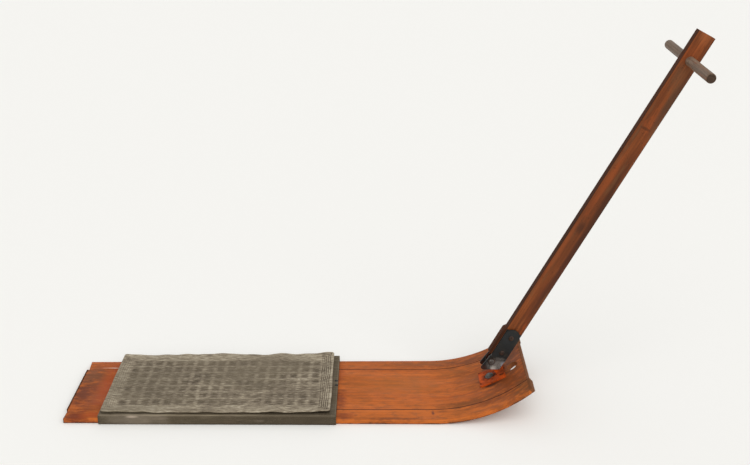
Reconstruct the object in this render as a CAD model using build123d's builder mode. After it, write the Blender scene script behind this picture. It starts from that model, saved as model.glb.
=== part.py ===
from build123d import *
import math
import os

os.makedirs("parts", exist_ok=True)

# Every length is in millimetres. X runs from the tail to the nose, Y to the left, Z up.
# The origin is on the floor, under the middle of the whole sled's box.

# Deck: three boards glued edge to edge, flat from the tail and curled up at the nose
flat_length = 770.0
curl_radius = 305.0
curl_angle = 41.5
board_thickness = 11.0
middle_board_width = 168.0
tail_width = 240.0
nose_width = 252.0
board_edge_radius = 2.5
joint_bevel = 1.0

# Worn ends of the side boards: name, side of the deck, set back of the tail at the joint
# and at the corner, and how far the nose stands past the middle board
side_boards = (
    ("left", 1, 5.5, 2.5, 2.0),
    ("right", -1, 4.0, 2.0, 5.0),
)

# Rope hole square through the nose, and the hinge pivot behind it and above the deck:
# places along the curl's upper face, the first from the nose's end
rope_hole_radius = 13.0
rope_hole_to_nose = 27.2
pivot_to_rope_hole = 30.3
pivot_rise = 40.4

# Handle: a stick that leans forward, its middle line ahead of the pivot, and its dowel grip
handle_lean = 62.2
pivot_to_stick_axis = 8.0
stick_width = 37.0
stick_thickness = 19.0
stick_start = 14.5
stick_end = 796.0
stick_edge_radius = 1.5
grip_to_stick_end = 58.0
grip_radius = 9.5
grip_length = 290.0
grip_end_bevel = 2.0
grip_fit = 0.05

# Packing strip on the rear face of the stick, with its top end cut on a slope
packing_end = 83.0
packing_thickness = 4.5
packing_slope = 6.0

# Two straps over two fork plates hold the stick between them
strap_start = 10.5
strap_end = 88.0
strap_width = 34.0
strap_thickness = 3.0
strap_corner_radius = 2.5
fork_end = 82.0
fork_width = 34.0
fork_thickness = 2.5
strap_bolt_places = (29.0, 68.0)
strap_bolt_radius = 3.0
bolt_clearance = 0.2
thread_clearance = 0.05
strap_head_radius = 5.5
strap_head_height = 3.2
strap_head_slope = 2.4
strap_nut_flats = 10.0
strap_nut_height = 5.0
strap_bolt_tip = 2.0

# The fork plates' foot is cut level, with a heel behind the pivot: distances below and behind
# the start of the stick's middle line
fork_foot_drop = 16.0
fork_foot_reach = 34.0
heel_radius = 5.0

# Hinge bracket: a bent plate on the deck with two ears inside the fork and a web that stops
# the stick's foot
plate_thickness = 3.0
bracket_behind_pivot = 47.7
bracket_ahead_of_pivot = 11.8
bracket_half_width = 28.5
foot_corner_radius = 3.0
ear_gap = 0.5
ear_thickness = 4.0
ear_eye_radius = 9.5
ear_behind_pivot = 5.0
ear_ahead_of_pivot = 11.0
bend_radius = 2.0
web_ahead_of_pivot = 11.5
web_thickness = 4.0
seat_gap = 0.2
stop_gap = 0.3

# Large flanged screw through the bracket's foot, on the middle line behind the ears
screw_behind_pivot = 23.6
screw_radius = 3.5
screw_length = 11.0
screw_flange_radius = 9.2
screw_flange_thickness = 1.8
screw_head_radius = 6.5
screw_head_height = 3.6
screw_head_round = 2.8
screw_head_gap = 0.25

# Pivot bolt with its washers and nut, and the spacer tube between the ears
pivot_radius = 4.0
pivot_clearance = 0.08
washer_radius = 7.5
washer_thickness = 1.5
washer_gap = 0.3
pivot_head_radius = 6.0
pivot_head_height = 3.0
pivot_head_slope = 1.4
pivot_nut_flats = 11.0
pivot_nut_height = 5.0
pivot_tip = 2.0
spacer_radius = 6.5

# Pad that wraps over the deck's sides, and the rubber mat on it
pad_tail = 72.0
pad_nose = 568.0
pad_top = 23.5
pad_stand_out = 3.8
pad_floor_gap = 1.0
pad_gap = 0.3
pad_edge_radius = 3.0
mat_tail = 80.0
mat_nose = 556.0
mat_half_width = 119.0
mat_thickness = 4.5
mat_corner_radius = 7.0
mat_edge_radius = 1.2

lean = math.radians(handle_lean)
grip_place = stick_end - grip_to_stick_end
nose_reach = flat_length + curl_radius * math.sin(math.radians(curl_angle))
top_radius = curl_radius - board_thickness
seat_radius = top_radius - seat_gap
plate_radius = seat_radius - plate_thickness
rope_hole_angle = curl_angle - math.degrees(rope_hole_to_nose / top_radius)
pivot_angle = rope_hole_angle - math.degrees(pivot_to_rope_hole / top_radius)
bracket_tail_angle = pivot_angle - math.degrees(bracket_behind_pivot / top_radius)
bracket_nose_angle = pivot_angle + math.degrees(bracket_ahead_of_pivot / top_radius)
screw_angle = pivot_angle - math.degrees(screw_behind_pivot / top_radius)

pivot_reach = (top_radius - pivot_rise) * math.sin(math.radians(pivot_angle))
pivot_height = curl_radius - (top_radius - pivot_rise) * math.cos(math.radians(pivot_angle))
stick_reach = pivot_to_stick_axis * math.sin(lean)
front_reach = stick_end * math.cos(lean) + stick_width / 2 * math.sin(lean)
overall_length = flat_length + pivot_reach + stick_reach + front_reach
tail_x = -overall_length / 2
curl_x = tail_x + flat_length
pivot_x = curl_x + pivot_reach

# Half thicknesses of the hinge's stack: fork and straps outside the stick, ears inside the fork
fork_inner = stick_thickness / 2
strap_inner = fork_inner + fork_thickness
strap_outer = strap_inner + strap_thickness
ear_outer = fork_inner - ear_gap
ear_inner = ear_outer - ear_thickness
washer_inner = strap_inner + washer_gap
washer_outer = washer_inner + washer_thickness

# Local X of the handle plane runs up the stick's middle line, and local Y points to its rear face
handle_plane = Plane(
    origin=(pivot_x + stick_reach, 0, pivot_height - pivot_to_stick_axis * math.cos(lean)),
    x_dir=(math.cos(lean), 0, math.sin(lean)),
    z_dir=(0, -1, 0),
)
handle_axis = Axis(handle_plane.origin, handle_plane.x_dir)
pivot_plane = Plane(origin=(pivot_x, 0, pivot_height), x_dir=(1, 0, 0), z_dir=(0, -1, 0))
sides = (("left", 1), ("right", -1))


def curl_plane(angle, radius, y):
    turn = math.radians(angle)
    return Plane(
        origin=(curl_x + radius * math.sin(turn), y, curl_radius - radius * math.cos(turn)),
        x_dir=(math.cos(turn), 0, math.sin(turn)),
        z_dir=(-math.sin(turn), 0, math.cos(turn)),
    )


def half_width(reach):
    return (tail_width + (nose_width - tail_width) * reach / nose_reach) / 2


def board_outline(nose_angle):
    with BuildLine() as outline:
        sole = Line((tail_x, 0), (curl_x, 0))
        under = JernArc(sole @ 1, sole % 1, curl_radius, nose_angle)
        face = Line((tail_x, board_thickness), (curl_x, board_thickness))
        upper = JernArc(face @ 1, face % 1, top_radius, nose_angle)
        Line(under @ 1, upper @ 1)
        Line(sole @ 0, face @ 0)
    return outline.line


def curl_outline(radius, thickness, start_angle, end_angle):
    with BuildLine() as outline:
        span = end_angle - start_angle
        lower = CenterArc((curl_x, curl_radius), radius, start_angle - 90, span)
        upper = CenterArc((curl_x, curl_radius), radius - thickness, start_angle - 90, span)
        Line(lower @ 0, upper @ 0)
        Line(lower @ 1, upper @ 1)
    return outline.line


def deck_plan(tail, nose, stand_out):
    """Plan outline of a stretch of the deck, its tapered sides moved out by a distance."""
    with BuildLine() as outline:
        Polyline(
            (tail_x + tail, half_width(tail) + stand_out),
            (tail_x + nose, half_width(nose) + stand_out),
            (tail_x + nose, -half_width(nose) - stand_out),
            (tail_x + tail, -half_width(tail) - stand_out),
            close=True,
        )
    return outline.line


def long_edges(side_face):
    """Straight long edges of a board's side face, the lower one first."""
    lines = side_face.edges().filter_by(GeomType.LINE)
    return lines.filter_by(lambda edge: edge.length > flat_length / 2).sort_by(Axis.Z)


# Middle board: bevelled joint edges, the rope hole and the screw's hole
with BuildPart() as middle_board:
    with BuildSketch(Plane.XZ):
        add(board_outline(curl_angle))
        make_face()
    extrude(amount=middle_board_width / 2, both=True)
    for side_end in (0, -1):
        joint_face = middle_board.faces().sort_by(Axis.Y)[side_end]
        chamfer(long_edges(joint_face)[-1], joint_bevel)
    with BuildSketch(curl_plane(rope_hole_angle, top_radius, 0)):
        Circle(rope_hole_radius)
    extrude(amount=board_thickness * 2, both=True, mode=Mode.SUBTRACT)
    with BuildSketch(curl_plane(screw_angle, plate_radius, 0)):
        Circle(screw_radius + bolt_clearance)
    extrude(amount=-screw_length - bolt_clearance, mode=Mode.SUBTRACT)
middle_board.part.label = "deck_middle_board"
export_step(middle_board.part, "parts/deck_middle_board.step")

# Side boards: tapered to the tail and worn back at their corners
for name, side, joint_set_back, corner_set_back, nose_step in side_boards:
    joint_y = side * middle_board_width / 2
    with BuildPart() as side_board:
        with BuildSketch(Plane.XZ.offset(-joint_y)):
            add(board_outline(curl_angle + math.degrees(nose_step / curl_radius)))
            make_face()
        extrude(amount=-side * nose_width / 2)
        with BuildSketch():
            with BuildLine():
                Polyline(
                    (tail_x + joint_set_back, joint_y),
                    (tail_x + corner_set_back, side * half_width(corner_set_back)),
                    (tail_x + overall_length, side * half_width(overall_length)),
                    (tail_x + overall_length, joint_y),
                    close=True,
                )
            make_face()
        extrude(amount=curl_radius, mode=Mode.INTERSECT)
        joint_face = side_board.faces().sort_by(Axis.Y)[0 if side > 0 else -1]
        chamfer(long_edges(joint_face)[-1], joint_bevel)
        outer_face = side_board.faces().sort_by(Axis.Y)[-1 if side > 0 else 0]
        fillet(long_edges(outer_face), board_edge_radius)
    side_board.part.label = f"deck_{name}_board"
    export_step(side_board.part, f"parts/deck_{name}_board.step")

# Places of the bracket's ears and web: the web's top stops the foot of the stick
ear_tail_angle = pivot_angle - math.degrees(ear_behind_pivot / top_radius)
ear_nose_angle = pivot_angle + math.degrees(ear_ahead_of_pivot / top_radius)
web_front = web_ahead_of_pivot + web_thickness
web_rise = (stick_start - stop_gap - web_front * math.cos(lean)) / math.sin(lean)
web_rear_x = pivot_x + web_ahead_of_pivot
web_front_x = pivot_x + web_front
web_height = pivot_height + web_rise
root_radius = seat_radius - plate_thickness / 2


def root_point(angle):
    turn = math.radians(angle)
    return (curl_x + root_radius * math.sin(turn), curl_radius - root_radius * math.cos(turn))


def root_height(x):
    return curl_radius - math.sqrt(root_radius**2 - (x - curl_x) ** 2)


# Hinge bracket: the plate bent to the curl, two ears, the web between them and the holes
with BuildPart() as bracket:
    with BuildSketch(Plane.XZ):
        add(curl_outline(seat_radius, plate_thickness, bracket_tail_angle, bracket_nose_angle))
        make_face()
    extrude(amount=bracket_half_width, both=True)
    foot_corners = bracket.edges().filter_by(lambda edge: edge.length < plate_thickness * 1.1)
    fillet(foot_corners, foot_corner_radius)
    for name, side in sides:
        with BuildSketch(Plane.XZ.offset(-side * ear_inner)):
            with BuildLine():
                CenterArc((pivot_x, pivot_height), ear_eye_radius, 0, 360)
                Line(root_point(ear_tail_angle), root_point(ear_nose_angle))
                Line((web_rear_x, web_height), (web_front_x, web_height))
            make_hull()
        extrude(amount=-side * ear_thickness)
    with BuildSketch(Plane.XZ):
        with BuildLine():
            Polyline(
                (web_rear_x, root_height(web_rear_x)),
                (web_rear_x, web_height),
                (web_front_x, web_height),
                (web_front_x, root_height(web_front_x)),
                close=True,
            )
        make_face()
    extrude(amount=ear_inner, both=True)
    ear_roots = bracket.edges().filter_by(GeomType.CIRCLE).filter_by(
        lambda edge: abs(abs(edge.center().Y) - ear_outer) < seat_gap and edge.radius > ear_eye_radius * 2
    )
    fillet(ear_roots, bend_radius)
    with BuildSketch(pivot_plane):
        Circle(pivot_radius + bolt_clearance)
    extrude(amount=ear_outer * 2, both=True, mode=Mode.SUBTRACT)
    with BuildSketch(curl_plane(screw_angle, seat_radius, 0)):
        Circle(screw_radius + bolt_clearance)
    extrude(amount=plate_thickness * 2, both=True, mode=Mode.SUBTRACT)
bracket.part.label = "hinge_bracket"
export_step(bracket.part, "parts/hinge_bracket.step")

# Flanged round-headed screw that holds the bracket's foot
with BuildPart() as screw:
    with BuildSketch(curl_plane(screw_angle, plate_radius - screw_head_gap, 0)):
        Circle(screw_flange_radius)
    extrude(amount=screw_flange_thickness)
    with BuildSketch(curl_plane(screw_angle, plate_radius - screw_head_gap - screw_flange_thickness, 0)):
        Circle(screw_head_radius)
    extrude(amount=screw_head_height)
    head_rim = screw.edges().filter_by(GeomType.CIRCLE).sort_by(
        lambda edge: abs(edge.radius - screw_head_radius) - edge.center().Z
    )[0]
    chamfer(head_rim, screw_head_round / 2, screw_head_round)
    with BuildSketch(curl_plane(screw_angle, plate_radius - screw_head_gap, 0)):
        Circle(screw_radius)
    extrude(amount=-screw_length)
screw.part.label = "bracket_screws"
export_step(screw.part, "parts/bracket_screws.step")

# Pivot bolt, with its low round head on the right
with BuildPart() as pivot_bolt:
    with BuildSketch(pivot_plane.offset(washer_outer)):
        Circle(pivot_head_radius)
    extrude(amount=pivot_head_height)
    chamfer(pivot_bolt.edges().group_by(Axis.Y)[0], pivot_head_slope)
    with BuildSketch(pivot_plane.offset(washer_outer)):
        Circle(pivot_radius)
    extrude(amount=-(washer_outer * 2 + pivot_nut_height + pivot_tip))
pivot_bolt.part.label = "pivot_bolt"
export_step(pivot_bolt.part, "parts/pivot_bolt.step")

# Pivot nut on the left
with BuildPart() as pivot_nut:
    with BuildSketch(pivot_plane.offset(-washer_outer)):
        RegularPolygon(pivot_nut_flats / 2, 6, major_radius=False)
        Circle(pivot_radius + thread_clearance, mode=Mode.SUBTRACT)
    extrude(amount=-pivot_nut_height)
pivot_nut.part.label = "pivot_nut"
export_step(pivot_nut.part, "parts/pivot_nut.step")

# Washers on the outside of the fork plates
for name, side in sides:
    with BuildPart() as washer:
        with BuildSketch(pivot_plane.offset(-side * washer_inner)):
            Circle(washer_radius)
            Circle(pivot_radius + bolt_clearance, mode=Mode.SUBTRACT)
        extrude(amount=-side * washer_thickness)
    washer.part.label = f"pivot_washer_{name}"
    export_step(washer.part, f"parts/pivot_washer_{name}.step")

# Spacer tube that keeps the ears apart on the pivot bolt
with BuildPart() as spacer:
    with BuildSketch(pivot_plane):
        Circle(spacer_radius)
        Circle(pivot_radius + pivot_clearance, mode=Mode.SUBTRACT)
    extrude(amount=ear_inner, both=True)
spacer.part.label = "pivot_spacer"
export_step(spacer.part, "parts/pivot_spacer.step")

# Level foot of the fork plates: its front corner is on the plates' front edge
foot_front = (fork_width / 2 * math.cos(lean) - fork_foot_drop) / math.sin(lean)
heel_along = -fork_foot_reach * math.cos(lean) - fork_foot_drop * math.sin(lean)
heel_across = fork_foot_reach * math.sin(lean) - fork_foot_drop * math.cos(lean)

# Fork plates: a tongue under the strap, the pivot's hole and the heel
for name, side in sides:
    with BuildPart() as fork_plate:
        with BuildSketch(handle_plane.offset(-side * fork_inner)):
            with BuildLine():
                Polyline(
                    (fork_end, -fork_width / 2),
                    (fork_end, fork_width / 2),
                    (strap_start, fork_width / 2),
                    (heel_along, heel_across),
                    (foot_front, -fork_width / 2),
                    close=True,
                )
            make_face()
            with Locations((0, pivot_to_stick_axis)):
                Circle(pivot_radius + pivot_clearance, mode=Mode.SUBTRACT)
            for bolt_place in strap_bolt_places:
                with Locations((bolt_place, 0)):
                    Circle(strap_bolt_radius + bolt_clearance, mode=Mode.SUBTRACT)
        extrude(amount=-side * fork_thickness)
        fillet(fork_plate.edges().filter_by(Axis.Y).sort_by(Axis.X)[0], heel_radius)
    fork_plate.part.label = f"fork_plate_{name}"
    export_step(fork_plate.part, f"parts/fork_plate_{name}.step")

# Straps: square at the foot and round at the top
strap_round = strap_end - strap_width / 2
for name, side in sides:
    with BuildPart() as strap:
        with BuildSketch(handle_plane.offset(-side * strap_inner)):
            with Locations(((strap_start + strap_round) / 2, 0)):
                Rectangle(strap_round - strap_start, strap_width)
            with Locations((strap_round, 0)):
                Circle(strap_width / 2)
            for bolt_place in strap_bolt_places:
                with Locations((bolt_place, 0)):
                    Circle(strap_bolt_radius + bolt_clearance, mode=Mode.SUBTRACT)
        extrude(amount=-side * strap_thickness)
        foot_face = strap.faces().filter_by(GeomType.PLANE).sort_by(handle_axis)[0]
        fillet(foot_face.edges().filter_by(Axis.Y), strap_corner_radius)
    strap.part.label = f"handle_strap_{name}"
    export_step(strap.part, f"parts/handle_strap_{name}.step")

# Bolts through the straps, round heads on the right
with BuildPart() as strap_bolts:
    for bolt_place in strap_bolt_places:
        with BuildSketch(handle_plane.offset(strap_outer)):
            with Locations((bolt_place, 0)):
                Circle(strap_head_radius)
        extrude(amount=strap_head_height)
    head_rims = strap_bolts.edges().group_by(Axis.Y)[0]
    chamfer(head_rims, strap_head_slope)
    for bolt_place in strap_bolt_places:
        with BuildSketch(handle_plane.offset(strap_outer)):
            with Locations((bolt_place, 0)):
                Circle(strap_bolt_radius)
        extrude(amount=-(strap_outer * 2 + strap_nut_height + strap_bolt_tip))
strap_bolts.part.label = "strap_bolts"
export_step(strap_bolts.part, "parts/strap_bolts.step")

# Nuts of the strap bolts, on the left
with BuildPart() as strap_nuts:
    for bolt_place in strap_bolt_places:
        with BuildSketch(handle_plane.offset(-strap_outer)):
            with Locations((bolt_place, 0)):
                RegularPolygon(strap_nut_flats / 2, 6, major_radius=False)
                Circle(strap_bolt_radius + thread_clearance, mode=Mode.SUBTRACT)
        extrude(amount=-strap_nut_height)
strap_nuts.part.label = "strap_nuts"
export_step(strap_nuts.part, "parts/strap_nuts.step")

# Handle stick with its bolt holes and the hole for the grip
with BuildPart() as stick:
    with BuildSketch(handle_plane):
        with Locations(((stick_start + stick_end) / 2, 0)):
            Rectangle(stick_end - stick_start, stick_width)
    extrude(amount=stick_thickness / 2, both=True)
    stick_edges = stick.edges().filter_by(lambda edge: edge.length > stick_width * 2)
    fillet(stick_edges, stick_edge_radius)
    with BuildSketch(handle_plane):
        for bolt_place in strap_bolt_places:
            with Locations((bolt_place, 0)):
                Circle(strap_bolt_radius + bolt_clearance)
        with Locations((grip_place, 0)):
            Circle(grip_radius + grip_fit)
    extrude(amount=stick_thickness, both=True, mode=Mode.SUBTRACT)
stick.part.label = "handle_stick"
export_step(stick.part, "parts/handle_stick.step")

# Packing strip on the stick's rear face
with BuildPart() as packing:
    rear_face = stick_width / 2
    with BuildSketch(handle_plane):
        with BuildLine():
            Polyline(
                (stick_start, rear_face),
                (packing_end, rear_face),
                (packing_end - packing_slope, rear_face + packing_thickness),
                (stick_start, rear_face + packing_thickness),
                close=True,
            )
        make_face()
    extrude(amount=stick_thickness / 2, both=True)
packing.part.label = "packing_strip"
export_step(packing.part, "parts/packing_strip.step")

# Dowel grip through the stick
with BuildPart() as grip:
    with BuildSketch(handle_plane):
        with Locations((grip_place, 0)):
            Circle(grip_radius)
    extrude(amount=grip_length / 2, both=True)
    chamfer(grip.edges().filter_by(GeomType.CIRCLE), grip_end_bevel)
grip.part.label = "grip_dowel"
export_step(grip.part, "parts/grip_dowel.step")

# Seat pad: a thick top with skirts that hang down beside the deck
with BuildPart() as pad:
    with BuildSketch(Plane.XY.offset(pad_floor_gap)):
        add(deck_plan(pad_tail, pad_nose, pad_stand_out))
        make_face()
    extrude(amount=pad_top - pad_floor_gap)
    fillet(pad.faces().sort_by(Axis.Z)[-1].edges(), pad_edge_radius)
    with BuildSketch():
        add(deck_plan(pad_tail - pad_stand_out, pad_nose + pad_stand_out, pad_gap))
        make_face()
    extrude(amount=board_thickness + pad_gap, mode=Mode.SUBTRACT)
pad.part.label = "seat_pad"
export_step(pad.part, "parts/seat_pad.step")

# Rubber mat on the pad
with BuildPart() as mat:
    with BuildSketch(Plane.XY.offset(pad_top + seat_gap)):
        with Locations((tail_x + (mat_tail + mat_nose) / 2, 0)):
            RectangleRounded(mat_nose - mat_tail, mat_half_width * 2, mat_corner_radius)
    extrude(amount=mat_thickness)
    fillet(mat.faces().sort_by(Axis.Z)[-1].edges(), mat_edge_radius)
mat.part.label = "rubber_mat"
export_step(mat.part, "parts/rubber_mat.step")
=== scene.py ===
import math
import bmesh
import bpy
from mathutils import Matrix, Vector, noise


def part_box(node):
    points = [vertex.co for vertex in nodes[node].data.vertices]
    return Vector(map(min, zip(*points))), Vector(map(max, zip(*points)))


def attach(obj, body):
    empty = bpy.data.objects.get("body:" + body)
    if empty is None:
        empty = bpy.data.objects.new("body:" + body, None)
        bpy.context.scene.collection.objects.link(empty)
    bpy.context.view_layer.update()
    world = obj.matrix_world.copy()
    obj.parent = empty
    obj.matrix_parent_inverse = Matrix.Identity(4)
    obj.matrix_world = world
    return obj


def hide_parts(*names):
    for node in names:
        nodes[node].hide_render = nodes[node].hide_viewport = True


# Wooden plank sled with a hinged stick handle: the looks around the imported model
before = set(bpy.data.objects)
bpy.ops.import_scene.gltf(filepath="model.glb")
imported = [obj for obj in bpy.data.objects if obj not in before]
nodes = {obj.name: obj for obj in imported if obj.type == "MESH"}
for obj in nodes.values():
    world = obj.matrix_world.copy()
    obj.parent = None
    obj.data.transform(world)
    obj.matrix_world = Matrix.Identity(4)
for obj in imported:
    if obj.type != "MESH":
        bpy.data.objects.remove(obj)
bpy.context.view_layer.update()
mm = 0.001
print("frame loaded:", len(nodes), "nodes")

deckLow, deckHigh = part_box("deck_middle_board")
padLow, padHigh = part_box("seat_pad")
matLow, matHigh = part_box("rubber_mat")
gripLow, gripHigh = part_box("grip_dowel")
strapLow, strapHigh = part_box("strap_bolts")


def linear(hexColour):
    # sRGB hex to the linear values that the shaders take
    parts = [int(hexColour[i:i + 2], 16) / 255 for i in (1, 3, 5)]
    return [p / 12.92 if p <= 0.04045 else ((p + 0.055) / 1.055) ** 2.4 for p in parts] + [1]


def addNode(tree, kind, settings=None, links=None, out=0):
    # Adds a node and gives back one of its outputs, or the node itself where out is None
    node = tree.nodes.new("ShaderNode" + kind)
    for name, value in (settings or {}).items():
        if name == "stops":
            ramp = node.color_ramp.elements
            ramp.remove(ramp[1])
            ramp[0].position, ramp[0].color = value[0][0], linear(value[0][1])
            for place, colour in value[1:]:
                ramp.new(place).color = linear(colour)
        elif isinstance(name, int) or name in node.inputs:
            node.inputs[name].default_value = value
        else:
            setattr(node, name, value)
    for name, source in (links or {}).items():
        tree.links.new(source, node.inputs[name])
    return node if out is None else node.outputs[out]


def newMaterial(name, settings):
    material = bpy.data.materials.new(name)
    material.use_nodes = True
    tree = material.node_tree
    shader = tree.nodes["Principled BSDF"]
    for socket, value in settings.items():
        shader.inputs[socket].default_value = value
    return material, tree, shader


def marks(tree, space, size, detail=3.0, roughness=0.55, shift=(0, 0, 0), distortion=0.0):
    # Cloudy field whose marks are as long, wide and high as size says, in metres
    placed = addNode(tree, "Mapping", {"Scale": [1 / s for s in size], "Location": shift}, {"Vector": space})
    return addNode(tree, "TexNoise", {"Scale": 1.0, "Detail": detail, "Roughness": roughness,
                                      "Distortion": distortion}, {"Vector": placed})


def layTone(tree, colour, field, tone, ease="SMOOTHSTEP", share=None):
    # Lays a tone over the colour. A tone is its hex colour, the span of the field over which it
    # sets in, and its strength; share is a second field that holds it back.
    hexColour, (start, full), strength = tone
    mask = addNode(tree, "MapRange", {"interpolation_type": ease, "From Min": start, "From Max": full,
                                      "To Max": strength}, {"Value": field})
    if share is not None:
        mask = addNode(tree, "Math", {"operation": "MULTIPLY", "use_clamp": True}, {0: mask, 1: share})
    return addNode(tree, "Mix", {"data_type": "RGBA", 7: linear(hexColour)}, {0: mask, 6: colour}, 2)


# How ragged the border of a patch is (wear, dirt, painted shade or painted highlight), and how softly it sets
# in
patchLook = {"ragged": 1.6, "span": (0.8, 1.7), "inside": 0.25}


def wornAndPaintedLightPatches(tree, space, ragged, colour, patches):
    # Lays each patch over the colour: centre and radii in metres, its colour and its strength
    for centre, radii, hexColour, strength in patches:
        shift = [-c / r for c, r in zip(centre, radii)]
        placed = addNode(tree, "Mapping", {"Scale": [1 / r for r in radii], "Location": shift},
                         {"Vector": space})
        ball = addNode(tree, "TexGradient", {"gradient_type": "SPHERICAL"}, {"Vector": placed}, "Fac")
        field = addNode(tree, "Math", {"operation": "MULTIPLY_ADD", 1: patchLook["ragged"]},
                        {0: ragged, 2: ball})
        inside = addNode(tree, "MapRange", {"From Max": patchLook["inside"]}, {"Value": ball})
        colour = layTone(tree, colour, field, (hexColour, patchLook["span"], strength), share=inside)
    return colour


def roughen(tree, shader, field, gloss, dulled=None):
    # Roughness follows a field, and grows where dulled says
    (start, end), (low, high) = gloss
    rough = addNode(tree, "MapRange", {"From Min": start, "From Max": end, "To Min": low, "To Max": high},
                    {"Value": field})
    if dulled is not None:
        rough = addNode(tree, "Math", {"operation": "ADD"}, {0: dulled, 1: rough})
    tree.links.new(rough, shader.inputs["Roughness"])


def surfaceBump(tree, shader, heights, bumps):
    # Chain of bumps: each height field has a depth in metres and a strength
    normal = None
    for height, (depth, strength) in zip(heights, bumps):
        links = {"Height": height} if normal is None else {"Height": height, "Normal": normal}
        normal = addNode(tree, "Bump", {"Distance": depth, "Strength": strength}, links)
    tree.links.new(normal, shader.inputs["Normal"])


def finish(obj, material):
    obj.data.materials.clear()
    obj.data.materials.append(material)


def sliceMesh(mesh, place, normal, **options):
    return bmesh.ops.bisect_plane(mesh, geom=mesh.verts[:] + mesh.edges[:] + mesh.faces[:],
                                  plane_co=place, plane_no=normal, **options)


def meshObject(name, mesh, material, body):
    data = bpy.data.meshes.new(name)
    mesh.to_mesh(data)
    mesh.free()
    data.polygons.foreach_set("use_smooth", [True] * len(data.polygons))
    obj = bpy.data.objects.new(name, data)
    bpy.context.scene.collection.objects.link(obj)
    finish(obj, material)
    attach(obj, body)
    return obj


# Camera where the photographer stood, from the deck's and the stick's edges
cameraLook = {"place": (0.0022, -1.9704, 1.1871), "pitch": 22.3, "focalPixels": 1042.0,
              "photoWidth": 750.0, "sensor": 36.0}


def makeCamera(look):
    data = bpy.data.cameras.new("photoCamera")
    data.sensor_width = look["sensor"]
    data.lens = look["focalPixels"] * look["sensor"] / look["photoWidth"]
    camera = bpy.data.objects.new("photoCamera", data)
    camera.location = look["place"]
    camera.rotation_euler = (math.radians(90 - look["pitch"]), 0, 0)
    bpy.context.scene.collection.objects.link(camera)
    bpy.context.scene.camera = camera


# Studio: pale sweep, an even dome of light and one very large soft lamp from above, the front and the right
studioLook = {"floorRadius": 9.0, "floorColour": "#F8F7F3", "skyColour": "#F8F7F3",
              "floorFinish": {"Roughness": 0.9, "Specular IOR Level": 0.1},
              "domeColour": "#FFFFFF", "domeStrength": 0.61,
              "lampTurn": (42.0, 14.0), "lampStrength": 1.6, "lampSpread": 66.0}


def makeFloor(look):
    # Matt painted paper, so that it only takes the soft shadow
    material, tree, shader = newMaterial("paintedPaperSweep", look["floorFinish"])
    shader.inputs["Base Color"].default_value = linear(look["floorColour"])
    mesh = bmesh.new()
    bmesh.ops.create_circle(mesh, cap_ends=True, segments=96, radius=look["floorRadius"])
    data = bpy.data.meshes.new("studioFloor")
    mesh.to_mesh(data)
    mesh.free()
    floor = bpy.data.objects.new("studioFloor", data)
    bpy.context.scene.collection.objects.link(floor)
    finish(floor, material)


def makeLight(look):
    # The camera, glass and gloss see the pale sky, and all else is lit by the even dome
    scene = bpy.context.scene
    scene.view_settings.view_transform = "Standard"
    scene.world = scene.world or bpy.data.worlds.new("studio")
    scene.world.use_nodes = True
    sky = scene.world.node_tree
    sky.nodes.clear()
    dome = addNode(sky, "Background", {"Color": linear(look["domeColour"]), "Strength": look["domeStrength"]})
    seen = addNode(sky, "Background", {"Color": linear(look["skyColour"]), "Strength": 1.0})
    ray = addNode(sky, "LightPath", out=None)
    direct = addNode(sky, "Math", {"operation": "MAXIMUM"},
                     {0: ray.outputs["Is Camera Ray"], 1: ray.outputs["Is Transmission Ray"]})
    shown = addNode(sky, "Math", {"operation": "MAXIMUM"}, {0: direct, 1: ray.outputs["Is Glossy Ray"]})
    mixed = addNode(sky, "MixShader", {}, {0: shown, 1: dome, 2: seen})
    addNode(sky, "OutputWorld", {}, {"Surface": mixed}, None)
    data = bpy.data.lights.new("softSun", "SUN")
    data.energy = look["lampStrength"]
    data.angle = math.radians(look["lampSpread"])
    lamp = bpy.data.objects.new("softSun", data)
    lamp.rotation_euler = (math.radians(look["lampTurn"][0]), math.radians(look["lampTurn"][1]), 0)
    scene.collection.objects.link(lamp)


makeCamera(cameraLook)
makeFloor(studioLook)
makeLight(studioLook)
print("camera and studio made")
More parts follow.
